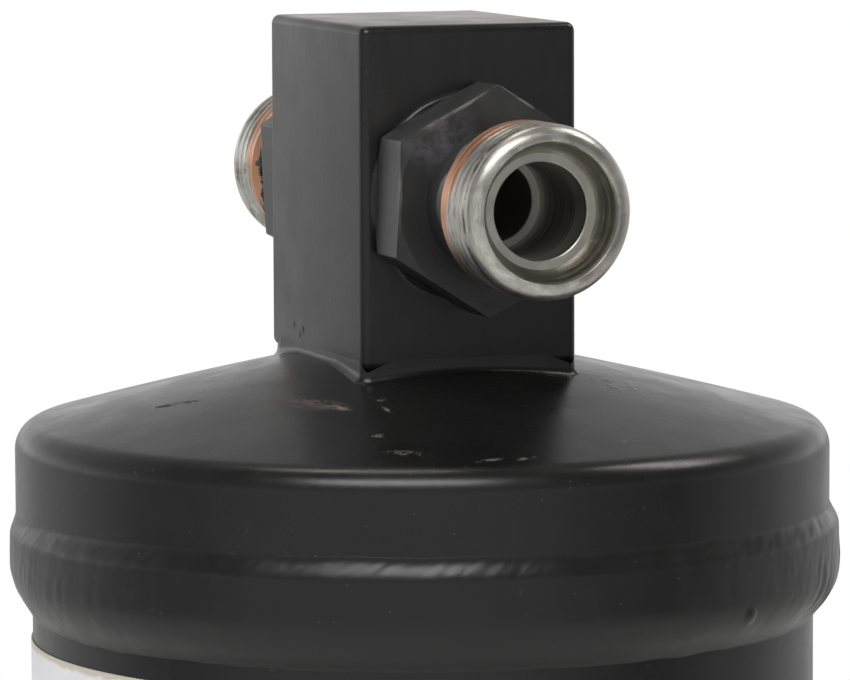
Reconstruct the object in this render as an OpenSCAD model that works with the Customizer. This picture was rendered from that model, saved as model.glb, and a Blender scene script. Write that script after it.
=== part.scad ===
// Filter drier of a vehicle cooling circuit: a drawn steel can with a domed cap
// welded over it, a drilled port block brazed on the cap and two threaded
// fittings, with a pickup tube and a bed of desiccant inside.
// +Z points up along the can, -Y is the side of the outlet fitting, and the
// origin is the middle of the ring on which the can stands.

/* [Shell] */
// Outside diameter of the can
can_d = 88.9; // [84:0.1:102]
// Sheet thickness of the can
can_wall = 1.8; // [1.4:0.1:2.4]
// Height of the can from the floor to its rim
can_h = 179.2; // [160:0.1:240]
// Outside radius of the can's lower corner
corner_r = 6; // [5:0.5:8]
// Width of the flat ring on which the can stands
foot_w = 1.6; // [1:0.1:3]
// Height of the dished bottom panel above the floor
dish_h = 4; // [3.6:0.1:6]
// Bend radius of the dished panel, upper side and lower side alike
dish_bend = 3; // [2.6:0.1:3.4]
// Slope of the flank between the dished panel and the foot ring
dish_slope = 50; // [35:1:55]
// Radial play between the can and the cap's skirt
cap_play = 0.1; // [0.05:0.01:0.2]

/* [Cap] */
// Sheet thickness of the cap
cap_wall = 1.7; // [1.4:0.1:2.2]
// Length of skirt that laps over the can
lap_h = 10.4; // [8:0.1:16]
// Height of straight skirt left above the can's rim
rim_gap = 1; // [0.5:0.1:3]
// Outside radius of the bend between the skirt and the dome
knuckle_r = 3.2; // [2.6:0.1:6]
// Radius of the dome's arc, nearly a cone
dome_r = 600; // [200:10:900]
// Slope of the dome where it leaves the flat seat
dome_slope = 12.3; // [8:0.1:16]
// How far the block's front and rear face reach past the dome's flat seat
seat_lap = 1.4; // [0.6:0.1:2]

/* [Weld] */
// Height of the bead's upper toe above the cap's lower edge
bead_up = 5.2; // [3:0.1:7]
// Depth of the bead's lower toe below the cap's lower edge
bead_down = 7.5; // [4:0.1:9]
// Depth of the bead's widest line below the cap's lower edge
bead_mid = 1.1; // [0:0.1:3]
// How far the bead stands out from the cap's skirt
bead_proud = 0.95; // [0.4:0.05:2]

/* [Port block] */
// Width of the block, across the fittings
block_w = 25.4; // [25:0.1:32]
// Depth of the block, along the fittings
block_d = 31.75; // [31.5:0.05:38]
// Height of the block
block_h = 38.1; // [34:0.1:50]
// Rounding of the block's edges
edge_r = 1; // [0.6:0.1:2]
// Depth of the ports' axis below the block's top
port_drop = 19.05; // [17:0.05:22]
// Radius of the cross bores and of the fittings' inner passage
passage_r = 4.44; // [3.5:0.01:4.8]
// Radius of the drilling above the pickup tube
riser_r = 3.8; // [3:0.1:3.8]
// Radius of the drilling that lets the inlet down into the can
drop_r = 3.5; // [2.5:0.1:3.6]
// Depth to which the pickup tube enters the block
tube_grip = 9; // [6:0.1:12]
// How far each bore runs on past the axis of the one that it meets
bore_past = 0.5; // [0.3:0.1:0.8]
// Full angle of the drill points
drill_angle = 118; // [110:1:140]

/* [Fittings] */
// Width across the flats of the hexagon
hex_af = 22.225; // [20:0.005:25]
// Thickness of the hexagon
hex_t = 7.7; // [6:0.1:9]
// Turn of the hexagons, point up at zero
hex_turn = 2.6; // [-30:0.1:30]
// Depth of the light chamfer on the hexagon's front corners
hex_front_cut = 0.25; // [0.1:0.05:0.6]
// Depth of the heavy chamfer on the hexagon's rear corners
hex_rear_cut = 1.3; // [0.6:0.1:2]
// Radius of the plain neck between the hexagon and the thread
neck_r = 7.9; // [7.6:0.1:8.5]
// Length of the plain neck
neck_l = 8; // [4:0.1:12]
// Outside radius of the thread
thread_r = 9.525; // [9.3:0.005:10.5]
// Length of thread at full radius
thread_l = 7.4; // [5:0.1:12]
// Chamfer at the thread's inner end
thread_cut = 0.8; // [0.4:0.1:1.2]
// Rounding of the fitting's nose
nose_r = 1.8; // [1:0.1:2]
// Depth of the tapered recess in the nose
recess_l = 3.3; // [2:0.1:5]
// Width of the flat seat ring at the recess's foot
seal_w = 0.98; // [0.6:0.01:1]
// Radius of the pilot bore
pilot_r = 5.3; // [5:0.01:5.6]
// Depth of the pilot bore from the recess's foot
pilot_l = 14.2; // [8:0.1:14.5]
// Radius of the shank that sits in the block
shank_r = 7; // [6.5:0.1:7.4]
// Length of the shank
shank_l = 3; // [2:0.1:3.2]
// Radial play of brazed joints
braze_play = 0.05; // [0.02:0.01:0.1]

/* [Braze] */
// Reach of the braze fillet round the block's foot
fillet_r = 2.6; // [1.5:0.1:4]
// Height of that fillet above the block's underside
fillet_h = 0.9; // [0.7:0.1:2]
// Depth to which the fillet's curve runs below the block's underside
fillet_sink = 0.3; // [0.2:0.1:0.6]
// Leg of the braze fillet behind each hexagon
collar_fillet = 1.2; // [0.9:0.1:1.4]
// Leg of the braze fillet round the tube
tube_fillet = 0.8; // [0.4:0.1:0.9]

/* [Pickup] */
// Outside diameter of the pickup tube
tube_d = 9.525; // [8:0.005:10]
// Wall of the pickup tube
tube_wall = 0.9; // [0.6:0.1:1.2]
// Height of the tube's foot above the dished panel
tube_foot = 12; // [11:0.1:15]
// Height of the ferrule that is crimped on the tube's foot
ferrule_h = 5; // [4:0.1:6]
// Sheet thickness of the ferrule
ferrule_wall = 0.6; // [0.4:0.1:1]
// Radius of the strainer screen
screen_r = 8.4; // [7.5:0.1:12]
// Height of the strainer screen
screen_h = 10; // [6:0.1:10]
// Thickness of the woven screen
screen_wall = 0.5; // [0.3:0.1:0.8]

/* [Desiccant bed] */
// Height of the lower plate's top above the can's floor panel
sump_h = 24; // [20:0.5:40]
// Height of the desiccant bed
bed_h = 100; // [60:1:104]
// Thickness of each felt pad
pad_t = 6; // [3:0.5:10]
// Sheet thickness of the perforated plates
plate_t = 1; // [0.8:0.1:1.5]
// Radial play between the plates and the can
plate_play = 0.25; // [0.15:0.05:0.4]
// Bend radius of the plates' rims, on the outside
plate_bend = 2.4; // [1.8:0.1:4]
// Height of the upper plate's turned-up rim
rim_h = 8; // [5:0.5:14]
// Diameter of the plates' holes
hole_d = 3.2; // [2:0.1:4]
// Distance between one ring of holes and the next
ring_pitch = 6.4; // [5:0.1:8]
// Radius of the innermost ring of holes
ring_first = 10.6; // [10:0.1:12]
// Radial play of the plates, pads and bed round the tube
tube_play = 0.15; // [0.1:0.05:0.3]

/* [Spring] */
// Diameter of the spring wire
wire_d = 3.2; // [2:0.1:4]
// Radius of the tapered spring at its foot, at the middle of its wire
coil_foot_r = 34; // [32:0.5:36]
// Radius of the spring at its head
coil_head_r = 16; // [12:0.5:16]
// Turns of the spring, its flat ends included
coil_turns = 4.5; // [3:0.5:4.5]
// Turns laid flat at each end
dead_turns = 0.75; // [0.5:0.25:1]
// Clearance of the spring at each seat
coil_play = 0.02; // [0.01:0.01:0.1]

/* [Label] */
// Height of the label
label_h = 100; // [60:1:120]
// Distance of the label's top edge below the bead's lower toe
label_drop = 2.7; // [1:0.1:10]
// Width of the label, measured round the can
label_w = 112; // [60:1:160]
// Thickness of the label
label_t = 0.15; // [0.1:0.01:0.3]
// Thickness of the adhesive under the label
label_glue = 0.05; // [0.02:0.01:0.1]
// Direction of the label's middle, anticlockwise from +X seen from above
label_turn = 205; // [0:1:359]

/* [Hidden] */
$fn = 96;

// Small step by which a cutter passes a face that it opens
pass = 1;

// Steps along a bend, and along the long arc of the dome
bend_steps = 8;
dome_steps = 12;

// Shell sizes that follow
can_r = can_d / 2;
can_in_r = can_r - can_wall;
floor_z = dish_h + can_wall;
corner_c = can_r - corner_r;
foot_c = corner_c - foot_w;
flank_drop = dish_h - 2 * dish_bend * (1 - cos(dish_slope));
dish_c = foot_c - 2 * dish_bend * sin(dish_slope) - flank_drop / tan(dish_slope);

// Cap sizes that follow
seat_r = block_d / 2 - seat_lap;
skirt_in_r = can_r + cap_play;
skirt_r = skirt_in_r + cap_wall;
skirt_z = can_h - lap_h;
knuckle_z = can_h + rim_gap;
knuckle_c = skirt_r - knuckle_r;
dome_c = seat_r - dome_r * sin(dome_slope);
dome_reach = knuckle_c - dome_c;
knuckle_turn = asin(dome_reach / (dome_r - knuckle_r));
dome_z = knuckle_z - sqrt(pow(dome_r - knuckle_r, 2) - pow(dome_reach, 2));
seat_z = dome_z + dome_r * cos(dome_slope);

// Weld sizes that follow
bead_r = skirt_r + bead_proud;
bead_z = skirt_z - bead_mid;
bead_toe_z = skirt_z - bead_down;

// Block sizes that follow
block_top = seat_z + block_h;
port_z = block_top - port_drop;
tube_r = tube_d / 2;
tube_top = seat_z + tube_grip;
drop_y = (tube_r + block_d / 2) / 2;
drill_point = passage_r / tan(drill_angle / 2);

// Stations along a fitting, counted outwards from the block's face
neck_end = hex_t + neck_l;
thread_end = neck_end + thread_l;
nose_end = thread_end + nose_r;
recess_end = nose_end - recess_l;
pilot_end = recess_end - pilot_l;
lip_r = thread_r - nose_r;
seal_r = pilot_r + seal_w;

// Heights of what is stacked inside, from the floor panel up
tube_end = floor_z + tube_foot;
plate_r = can_in_r - plate_play;
skirt_foot = corner_r - sqrt(pow(corner_r - can_wall, 2) - pow(plate_r - corner_c, 2));
lower_z = floor_z + sump_h;
lower_pad_z = lower_z;
bed_z = lower_pad_z + pad_t;
upper_pad_z = bed_z + bed_h;
upper_z = upper_pad_z + pad_t;
bore_r = tube_r + tube_play;

// Spring seats: the upper plate below and the underside of the dome above
wire_r = wire_d / 2;
coil_foot = upper_z + plate_t + wire_r + coil_play;
coil_fit = dome_r - cap_wall - wire_r - coil_play;
coil_sides = 8;
coil_steps = 28;

// Label sizes that follow
label_top = bead_toe_z - label_drop;
label_angle = label_w / can_r * 180 / PI;

// Points of an arc in a plane, from angle a0 to angle a1
function arc(centre, r, a0, a1, steps) = [
    for (i = [0 : steps])
        let (a = a0 + (a1 - a0) * i / steps)
        centre + r * [cos(a), sin(a)]
];

// Points from one list read backwards
function backwards(points) = [
    for (i = [len(points) - 1 : -1 : 0]) points[i]
];

// Outline of the can's sheet, a distance t inside its outer face
function can_line(t) = concat(
    [[0, dish_h + t]],
    arc([dish_c, dish_h - dish_bend], dish_bend + t, 90, 90 - dish_slope, bend_steps),
    arc([foot_c, dish_bend], dish_bend - t, 270 - dish_slope, 270, bend_steps),
    arc([corner_c, corner_r], corner_r - t, 270, 360, bend_steps),
    [[can_r - t, can_h]]
);

// Outline of the cap's sheet, a distance t inside its outer face
function cap_line(t) = concat(
    arc([dome_c, dome_z], dome_r - t, 90 - dome_slope, 90 - knuckle_turn, dome_steps),
    arc([knuckle_c, knuckle_z], knuckle_r - t, 90 - knuckle_turn, 0, bend_steps),
    [[skirt_r - t, skirt_z]]
);

// Points of half a bead, bulging as a parabola from its crown to a toe
function bead_half(toe_r, toe_z, steps) = [
    for (i = [0 : steps])
        let (u = i / steps)
        [bead_r - (bead_r - toe_r) * u * u, bead_z + (toe_z - bead_z) * u]
];

// Rectangle with four round corners, centred on the origin
module round_rect(w, d, r) {
    square([w - 2 * r, d], center = true);
    square([w, d - 2 * r], center = true);
    for (x = [-1, 1], y = [-1, 1]) {
        translate([x * (w / 2 - r), y * (d / 2 - r)])
            circle(r = r);
    }
}

// Round bar from height z0 to height z1
module bar(r, z0, z1) {
    translate([0, 0, z0])
        cylinder(r = r, h = z1 - z0);
}

// Puts a piece that is modelled along +Z on a port, side -1 front and 1 rear
module on_port(side) {
    translate([0, side * block_d / 2, port_z])
        rotate([-side * 90, 0, 0])
            children();
}

// Drawn can with a foot ring and a dished bottom
module can() {
    color([0.10, 0.10, 0.10])
        rotate_extrude()
            polygon(concat(can_line(0), backwards(can_line(can_wall))));
}

// Everything under the outer face of the cap, used to seat the braze on it
module under_cap() {
    rotate_extrude()
        polygon(concat(
            [[0, seat_z]],
            cap_line(0),
            [[0, skirt_z]]
        ));
}

// Pressed cap with a flat seat, a dome, a bend and a skirt over the can
module top_cap() {
    color([0.11, 0.11, 0.11])
        difference() {
            rotate_extrude()
                polygon(concat(
                    [[0, seat_z - cap_wall], [0, seat_z]],
                    cap_line(0),
                    backwards(cap_line(cap_wall))
                ));
            bar(tube_r + braze_play, seat_z - cap_wall - pass, seat_z + pass);
            translate([0, drop_y, 0])
                bar(drop_r, seat_z - cap_wall - pass, seat_z + pass);
        }
}

// Weld bead that fills the step between the cap's edge and the can
module shell_weld() {
    color([0.12, 0.12, 0.12])
        rotate_extrude()
            polygon(concat(
                [[can_r, skirt_z], [skirt_r, skirt_z]],
                backwards(bead_half(skirt_r, skirt_z + bead_up, bend_steps)),
                bead_half(can_r, bead_toe_z, bend_steps)
            ));
}

// Block with softly rounded edges, standing on the cap's seat
module block_blank() {
    translate([0, 0, seat_z + block_h / 2])
        intersection() {
            linear_extrude(height = block_h, center = true)
                round_rect(block_w, block_d, edge_r);
            rotate([90, 0, 0])
                linear_extrude(height = block_d, center = true)
                    round_rect(block_w, block_h, edge_r);
            rotate([90, 0, 90])
                linear_extrude(height = block_w, center = true)
                    round_rect(block_d, block_h, edge_r);
        }
}

// Cross bore from a port's face to a drilling at distance y from the can's
// axis, with its drill point and the counterbore for the fitting's shank
module cross_bore(side, y) {
    depth = block_d / 2 - y + bore_past;
    wide_r = shank_r + braze_play;
    on_port(side)
        rotate_extrude()
            polygon([
                [0, -depth - drill_point],
                [passage_r, -depth],
                [passage_r, -shank_l],
                [wide_r, -shank_l],
                [wide_r, pass],
                [0, pass]
            ]);
}

// Drilling that leads up from the pickup tube, wider where it takes the tube
module riser_bore() {
    wide_r = tube_r + braze_play;
    rotate_extrude()
        polygon([
            [0, seat_z - pass],
            [wide_r, seat_z - pass],
            [wide_r, tube_top],
            [riser_r, tube_top],
            [riser_r, port_z + bore_past],
            [0, port_z + bore_past]
        ]);
}

// Port block: two cross bores that turn down into two separate drillings
module port_block() {
    color([0.16, 0.16, 0.16])
        difference() {
            block_blank();
            cross_bore(-1, 0);
            cross_bore(1, drop_y);
            riser_bore();
            translate([0, drop_y, 0])
                bar(drop_r, seat_z - pass, port_z + bore_past);
        }
}

// Section of the hollow fillet. Its root reaches into the block, which is cut
// away later, so that the fillet ends on the block's own faces.
module fillet_section() {
    root = edge_r / 2;
    polygon(concat(
        [[-root, fillet_h]],
        [
            for (i = [0 : bend_steps])
                let (a = 90 * i / bend_steps)
                [fillet_r * (1 - cos(a)), fillet_h - (fillet_h + fillet_sink) * sin(a)]
        ],
        [[fillet_r, -fillet_r], [-root, -fillet_r]]
    ));
}

// Fillet swept once round the block's foot: four runs and four corners
module fillet_ring() {
    run_x = block_w - 2 * edge_r;
    run_y = block_d - 2 * edge_r;
    for (side = [0, 180]) {
        rotate([0, 0, side]) {
            translate([block_w / 2, run_y / 2, 0])
                rotate([90, 0, 0])
                    linear_extrude(height = run_y)
                        fillet_section();
            translate([-run_x / 2, block_d / 2, 0])
                rotate([90, 0, 90])
                    linear_extrude(height = run_x)
                        fillet_section();
        }
    }
    for (x = [-1, 1], y = [-1, 1]) {
        translate([x * run_x / 2, y * run_y / 2, 0])
            rotate_extrude()
                translate([edge_r, 0])
                    fillet_section();
    }
}

// Braze that joins the block to the dome, also under the block's corners
module block_braze() {
    color([0.13, 0.13, 0.13])
        difference() {
            union() {
                translate([0, 0, seat_z])
                    fillet_ring();
                translate([0, 0, seat_z - fillet_r])
                    linear_extrude(height = fillet_r + fillet_h)
                        round_rect(block_w, block_d, edge_r);
            }
            block_blank();
            under_cap();
        }
}

// Hexagon with a light chamfer in front and a heavy one behind
module hex_collar() {
    corner = hex_af / sqrt(3);
    flat = hex_af / 2;
    intersection() {
        rotate([0, 0, 90 - hex_turn])
            cylinder(r = corner, h = hex_t, $fn = 6);
        rotate_extrude()
            polygon([
                [0, 0],
                [flat + hex_rear_cut / 8, 0],
                [corner, hex_rear_cut],
                [corner, hex_t - hex_front_cut],
                [flat + hex_rear_cut / 8, hex_t],
                [0, hex_t]
            ]);
    }
}

// Turned fitting: shank, hexagon, neck, thread and a nose with its recess
module fitting() {
    difference() {
        union() {
            bar(shank_r, -shank_l, pass);
            hex_collar();
            bar(neck_r, hex_t - pass, neck_end + thread_cut);
            rotate_extrude()
                polygon(concat(
                    [[0, neck_end], [thread_r - thread_cut, neck_end]],
                    [[thread_r, neck_end + thread_cut]],
                    arc([lip_r, thread_end], nose_r, 0, 90, bend_steps),
                    [[0, nose_end]]
                ));
        }
        bar(passage_r, -shank_l - pass, pilot_end + pass);
        bar(pilot_r, pilot_end, recess_end + pass);
        translate([0, 0, recess_end])
            cylinder(r1 = seal_r, r2 = lip_r, h = recess_l);
        bar(lip_r, nose_end, nose_end + pass);
    }
}

// Fitting on the front face
module outlet_fitting() {
    color([0.62, 0.60, 0.57])
        on_port(-1)
            fitting();
}

// Fitting on the rear face
module inlet_fitting() {
    color([0.58, 0.55, 0.51])
        on_port(1)
            fitting();
}

// Ring of braze in the corner between two faces, round a bar of radius r
module braze_ring(r, z, leg, up) {
    rotate_extrude()
        difference() {
            translate([r, up > 0 ? z : z - leg])
                square([leg, leg]);
            translate([r + leg, z + up * leg])
                circle(r = leg);
        }
}

// Ring of braze behind a hexagon's rear chamfer, on the block's face
module collar_braze(side) {
    color([0.14, 0.14, 0.14])
        on_port(side)
            difference() {
                braze_ring(hex_af / 2 - braze_play, 0, collar_fillet, 1);
                hex_collar();
            }
}

// Braze behind the front hexagon
module outlet_braze() {
    collar_braze(-1);
}

// Braze behind the rear hexagon
module inlet_braze() {
    collar_braze(1);
}

// Tube that draws the liquid up from the can's bottom to the outlet
module pickup_tube() {
    color([0.55, 0.53, 0.50])
        difference() {
            bar(tube_r, tube_end, tube_top);
            bar(tube_r - tube_wall, tube_end - pass, tube_top + pass);
        }
}

// Braze that seals the tube under the cap
module tube_braze() {
    color([0.72, 0.45, 0.30])
        braze_ring(tube_r, seat_z - cap_wall, tube_fillet, -1);
}

// Drawn ferrule that is crimped on the tube's foot and carries the screen
module strainer_ferrule() {
    brim_z = tube_end - ferrule_wall;
    color([0.66, 0.62, 0.50])
        difference() {
            union() {
                bar(tube_r + ferrule_wall, brim_z, tube_end + ferrule_h);
                bar(screen_r, brim_z, tube_end);
            }
            bar(tube_r, tube_end, tube_end + ferrule_h + pass);
            bar(tube_r - tube_wall, brim_z - pass, tube_end + pass);
        }
}

// Screen cup that hangs under the ferrule's brim
module strainer_screen() {
    screen_top = tube_end - ferrule_wall;
    screen_foot = screen_top - screen_h;
    color([0.70, 0.68, 0.60])
        difference() {
            bar(screen_r, screen_foot, screen_top);
            bar(screen_r - screen_wall, screen_foot + screen_wall, screen_top + pass);
        }
}

// Holes of a perforated plate: rings that start round the tube and end where
// the rim's bend begins
module plate_holes(z0, z1) {
    last = plate_r - plate_bend - hole_d;
    for (r = [ring_first : ring_pitch : last]) {
        count = floor(2 * PI * r / ring_pitch);
        for (i = [0 : count - 1]) {
            rotate([0, 0, 360 * i / count])
                translate([r, 0, 0])
                    cylinder(d = hole_d, h = z1 - z0, $fn = 24);
        }
    }
}

// Perforated cup with a rim, modelled with its flat face at z = 0 and its rim
// pointing up
module perforated_cup(height) {
    inner_bend = plate_bend - plate_t;
    bend_c = plate_r - plate_bend;
    difference() {
        rotate_extrude()
            polygon(concat(
                [[bore_r, 0]],
                arc([bend_c, plate_bend], plate_bend, 270, 360, bend_steps),
                [[plate_r, height], [plate_r - plate_t, height]],
                arc([bend_c, plate_bend], inner_bend, 360, 270, bend_steps),
                [[bore_r, plate_t]]
            ));
        translate([0, 0, -pass])
            plate_holes(0, plate_t + 2 * pass);
    }
}

// Lower plate, rim down, standing on the can's bottom bend
module lower_plate() {
    color([0.60, 0.60, 0.58])
        translate([0, 0, lower_z])
            mirror([0, 0, 1])
                perforated_cup(lower_z - skirt_foot);
}

// Ring that fills the can round the tube
module filling(z, height) {
    difference() {
        bar(can_in_r - plate_play, z, z + height);
        bar(bore_r, z - pass, z + height + pass);
    }
}

// Felt pad under the bed
module lower_pad() {
    color([0.86, 0.84, 0.76])
        filling(lower_pad_z, pad_t);
}

// Bed of desiccant beads, packed so that it acts as one piece
module desiccant_bed() {
    color([0.80, 0.70, 0.55])
        filling(bed_z, bed_h);
}

// Felt pad on the bed
module upper_pad() {
    color([0.86, 0.84, 0.76])
        filling(upper_pad_z, pad_t);
}

// Upper plate, rim up, pressed on the bed by the spring
module upper_plate() {
    color([0.60, 0.60, 0.58])
        translate([0, 0, upper_z])
            perforated_cup(rim_h);
}

// Share of the spring's rise that is reached after t turns
function rise(t) =
    let (live = coil_turns - 2 * dead_turns)
    let (s = min(max((t - dead_turns) / live, 0), 1))
    s * s * (3 - 2 * s);

// Height at which the wire's middle touches the dome's underside, at radius r
function ceiling(r) = dome_z + sqrt(pow(coil_fit, 2) - pow(r - dome_c, 2));

// Points of one section of the spring's wire, after t turns
function wire_ring(t) =
    let (mid_r = coil_foot_r + (coil_head_r - coil_foot_r) * t / coil_turns)
    let (mid_z = coil_foot + (ceiling(mid_r) - coil_foot) * rise(t))
    [
        for (k = [0 : coil_sides - 1])
            let (a = 360 * k / coil_sides)
            let (r = mid_r + wire_r * cos(a))
            [r * cos(360 * t), r * sin(360 * t), mid_z + wire_r * sin(a)]
    ];

// Compression spring between the upper plate and the dome's underside
module bed_spring() {
    total = round(coil_turns * coil_steps);
    side_faces = [
        for (i = [0 : total - 1], k = [0 : coil_sides - 1])
            let (n = (k + 1) % coil_sides)
            [i * coil_sides + k, i * coil_sides + n,
             (i + 1) * coil_sides + n, (i + 1) * coil_sides + k]
    ];
    first = [for (k = [coil_sides - 1 : -1 : 0]) k];
    last = [for (k = [0 : coil_sides - 1]) total * coil_sides + k];
    color([0.45, 0.45, 0.46])
        polyhedron(
            points = [for (i = [0 : total]) each wire_ring(i / coil_steps)],
            faces = concat(side_faces, [first, last])
        );
}

// Blank label wrapped on the can's left side
module label() {
    color([0.86, 0.86, 0.87])
        translate([0, 0, label_top - label_h])
            rotate([0, 0, label_turn - label_angle / 2])
                rotate_extrude(angle = label_angle)
                    translate([can_r + label_glue, 0])
                        square([label_t, label_h]);
}

can();
top_cap();
shell_weld();
port_block();
block_braze();
outlet_fitting();
inlet_fitting();
outlet_braze();
inlet_braze();
pickup_tube();
tube_braze();
strainer_ferrule();
strainer_screen();
lower_plate();
lower_pad();
desiccant_bed();
upper_pad();
upper_plate();
bed_spring();
label();
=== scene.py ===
# %% [markdown]
# # Dressing a filter drier
# A filter drier is a small steel pressure vessel in a vehicle's cooling circuit.
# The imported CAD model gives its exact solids. This lesson rebuilds the painted
# outside of it in finer meshes on the same places, and gives every piece, inside
# and outside, a finish made of shader nodes.

import math

import bmesh
import bpy
from mathutils import Matrix, Vector, noise


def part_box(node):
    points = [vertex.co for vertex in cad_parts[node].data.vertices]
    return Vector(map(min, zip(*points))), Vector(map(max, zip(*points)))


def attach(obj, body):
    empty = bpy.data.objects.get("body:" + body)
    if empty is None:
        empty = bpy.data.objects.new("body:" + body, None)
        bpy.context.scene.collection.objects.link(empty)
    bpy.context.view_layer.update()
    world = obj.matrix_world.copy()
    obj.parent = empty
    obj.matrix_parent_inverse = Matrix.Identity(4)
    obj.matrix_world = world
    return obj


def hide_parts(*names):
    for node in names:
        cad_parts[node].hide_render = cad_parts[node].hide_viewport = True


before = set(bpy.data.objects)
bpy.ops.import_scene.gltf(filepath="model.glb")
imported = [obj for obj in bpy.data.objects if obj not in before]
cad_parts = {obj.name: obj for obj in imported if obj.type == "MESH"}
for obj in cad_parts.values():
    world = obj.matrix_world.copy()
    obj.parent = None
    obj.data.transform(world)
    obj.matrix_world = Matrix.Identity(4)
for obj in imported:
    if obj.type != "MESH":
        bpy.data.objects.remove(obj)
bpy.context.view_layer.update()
MM = 0.001

# %% [markdown]
# ## Places taken from the CAD
# Every new piece sits where the CAD has its solid, so the places are read from
# the boxes of the nodes. Only sizes that a box doesn't show are written here, in
# millimetres, with the names that a maker of such driers would use.

# %% Places and sizes
SEAT_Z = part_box("port_block")[0].z / MM
BLOCK_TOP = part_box("port_block")[1].z / MM
BLOCK_W = 2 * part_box("port_block")[1].x / MM
BLOCK_D = 2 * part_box("port_block")[1].y / MM
CAN_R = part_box("can")[1].x / MM
CAN_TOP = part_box("can")[1].z / MM
SKIRT_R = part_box("top_cap")[1].x / MM
SKIRT_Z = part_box("top_cap")[0].z / MM
BEAD_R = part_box("shell_weld")[1].x / MM
BEAD_FOOT, BEAD_HEAD = (corner.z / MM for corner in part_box("shell_weld"))
LABEL_FOOT, LABEL_HEAD = (corner.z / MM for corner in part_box("label"))
outlet_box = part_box("outlet_fitting")
PORT_Z = (outlet_box[0].z + outlet_box[1].z) / 2 / MM
NOSE_END = -outlet_box[0].y / MM - BLOCK_D / 2

CAN_WALL, CAP_WALL = 1.8, 1.7
KNUCKLE_R, DOME_R, DOME_SLOPE = 3.2, 600.0, math.radians(12.3)
SEAT_R = BLOCK_D / 2 - 1.4
HEX_T, HEX_AF, HEX_TURN = 7.7, 22.225, math.radians(2.6)
NECK_R, NECK_END = 7.9, 15.7
THREAD_R, THREAD_END, PITCH = 9.525, 23.1, 1.5875
LIP_R, SEAL_R, PILOT_R, PASSAGE_R = 7.725, 6.28, 5.3, 4.44
RECESS_END, PILOT_END, SHANK_R, SHANK_L = 21.6, 7.4, 7.0, 3.0
print("block top", round(BLOCK_TOP, 3), "port axis", round(PORT_Z, 3))

# %% [markdown]
# ## Small helpers for turned pieces
# Most of the drier is turned, drawn or spun, so most pieces start as an outline
# of radius and height that `bmesh.ops.spin` sweeps round the axis. A closed
# outline gives a ring, and an open one that starts and ends on the axis gives a
# closed shell, once the doubles on the axis are merged.


# %% Outlines and spinning
def arc(centre, radius, start, end, steps):
    """Points of an arc in the plane of radius and height, angles in degrees."""
    turns = [math.radians(start + (end - start) * i / steps) for i in range(steps + 1)]
    return [(centre[0] + radius * math.cos(a), centre[1] + radius * math.sin(a)) for a in turns]


def along(start, end, steps):
    """Evenly spaced points on a straight run, without its last one."""
    return [
        tuple(a + (b - a) * i / steps for a, b in zip(start, end)) for i in range(steps)
    ]


def spun(outline, steps, ring=True):
    """Sweeps an outline in millimetres once round the Z axis."""
    bm = bmesh.new()
    verts = [bm.verts.new((r * MM, 0, z * MM)) for r, z in outline]
    pairs = list(zip(verts, verts[1:]))
    if ring:
        pairs.append((verts[-1], verts[0]))
    edges = [bm.edges.new(pair) for pair in pairs]
    bmesh.ops.spin(
        bm, geom=verts + edges, cent=(0, 0, 0), axis=(0, 0, 1),
        angle=math.tau, steps=steps, use_merge=True,
    )
    bmesh.ops.remove_doubles(bm, verts=bm.verts, dist=1e-7)
    bmesh.ops.recalc_face_normals(bm, faces=bm.faces)
    return bm


# %% [markdown]
# ## Turning a bmesh into a piece
# A finished piece keeps its object at the origin, rides on the drier's one body
# and stands for its CAD solid, which it hides. Edges that turn by more than the
# given angle stay crisp, all others are shaded smooth.


# %% Finishing and cutting pieces
def as_object(bm, name):
    mesh = bpy.data.meshes.new(name)
    bm.to_mesh(mesh)
    bm.free()
    made = bpy.data.objects.new(name, mesh)
    bpy.context.scene.collection.objects.link(made)
    return made


def combined(piece, tool, operation):
    """Applies one exact boolean to a piece and removes the tool object."""
    step = piece.modifiers.new("step", "BOOLEAN")
    step.operation, step.solver, step.object = operation, "EXACT", tool
    graph = bpy.context.evaluated_depsgraph_get()
    mesh = bpy.data.meshes.new_from_object(piece.evaluated_get(graph))
    piece.modifiers.clear()
    piece.data = mesh
    bpy.data.objects.remove(tool)
    return piece


def finished(piece, node, crisp=35):
    bm = bmesh.new()
    bm.from_mesh(piece.data)
    bmesh.ops.remove_doubles(bm, verts=bm.verts, dist=2e-7)
    bmesh.ops.dissolve_degenerate(bm, edges=bm.edges, dist=2e-7)
    bm.to_mesh(piece.data)
    bm.free()
    piece.data.shade_smooth()
    piece.data.set_sharp_from_angle(angle=math.radians(crisp))
    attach(piece, "root")
    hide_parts(node)
    print(f"{piece.name}: {len(piece.data.polygons)} faces for {node}")
    return piece


# %% [markdown]
# ## The camera
# The photo was taken with a long lens, from a little above the ports and about
# twenty degrees to the left of the outlet fitting. The camera's axes are built
# from those angles, so the small roll of the photo is part of them.

# %% Camera
LENS = 232.94
TURN, PITCH_DOWN, ROLL = math.radians(19.93), math.radians(6.07), math.radians(0.233)
DISTANCE, RISE, AIM = 621.35, 29.5, math.radians(0.033)

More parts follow.
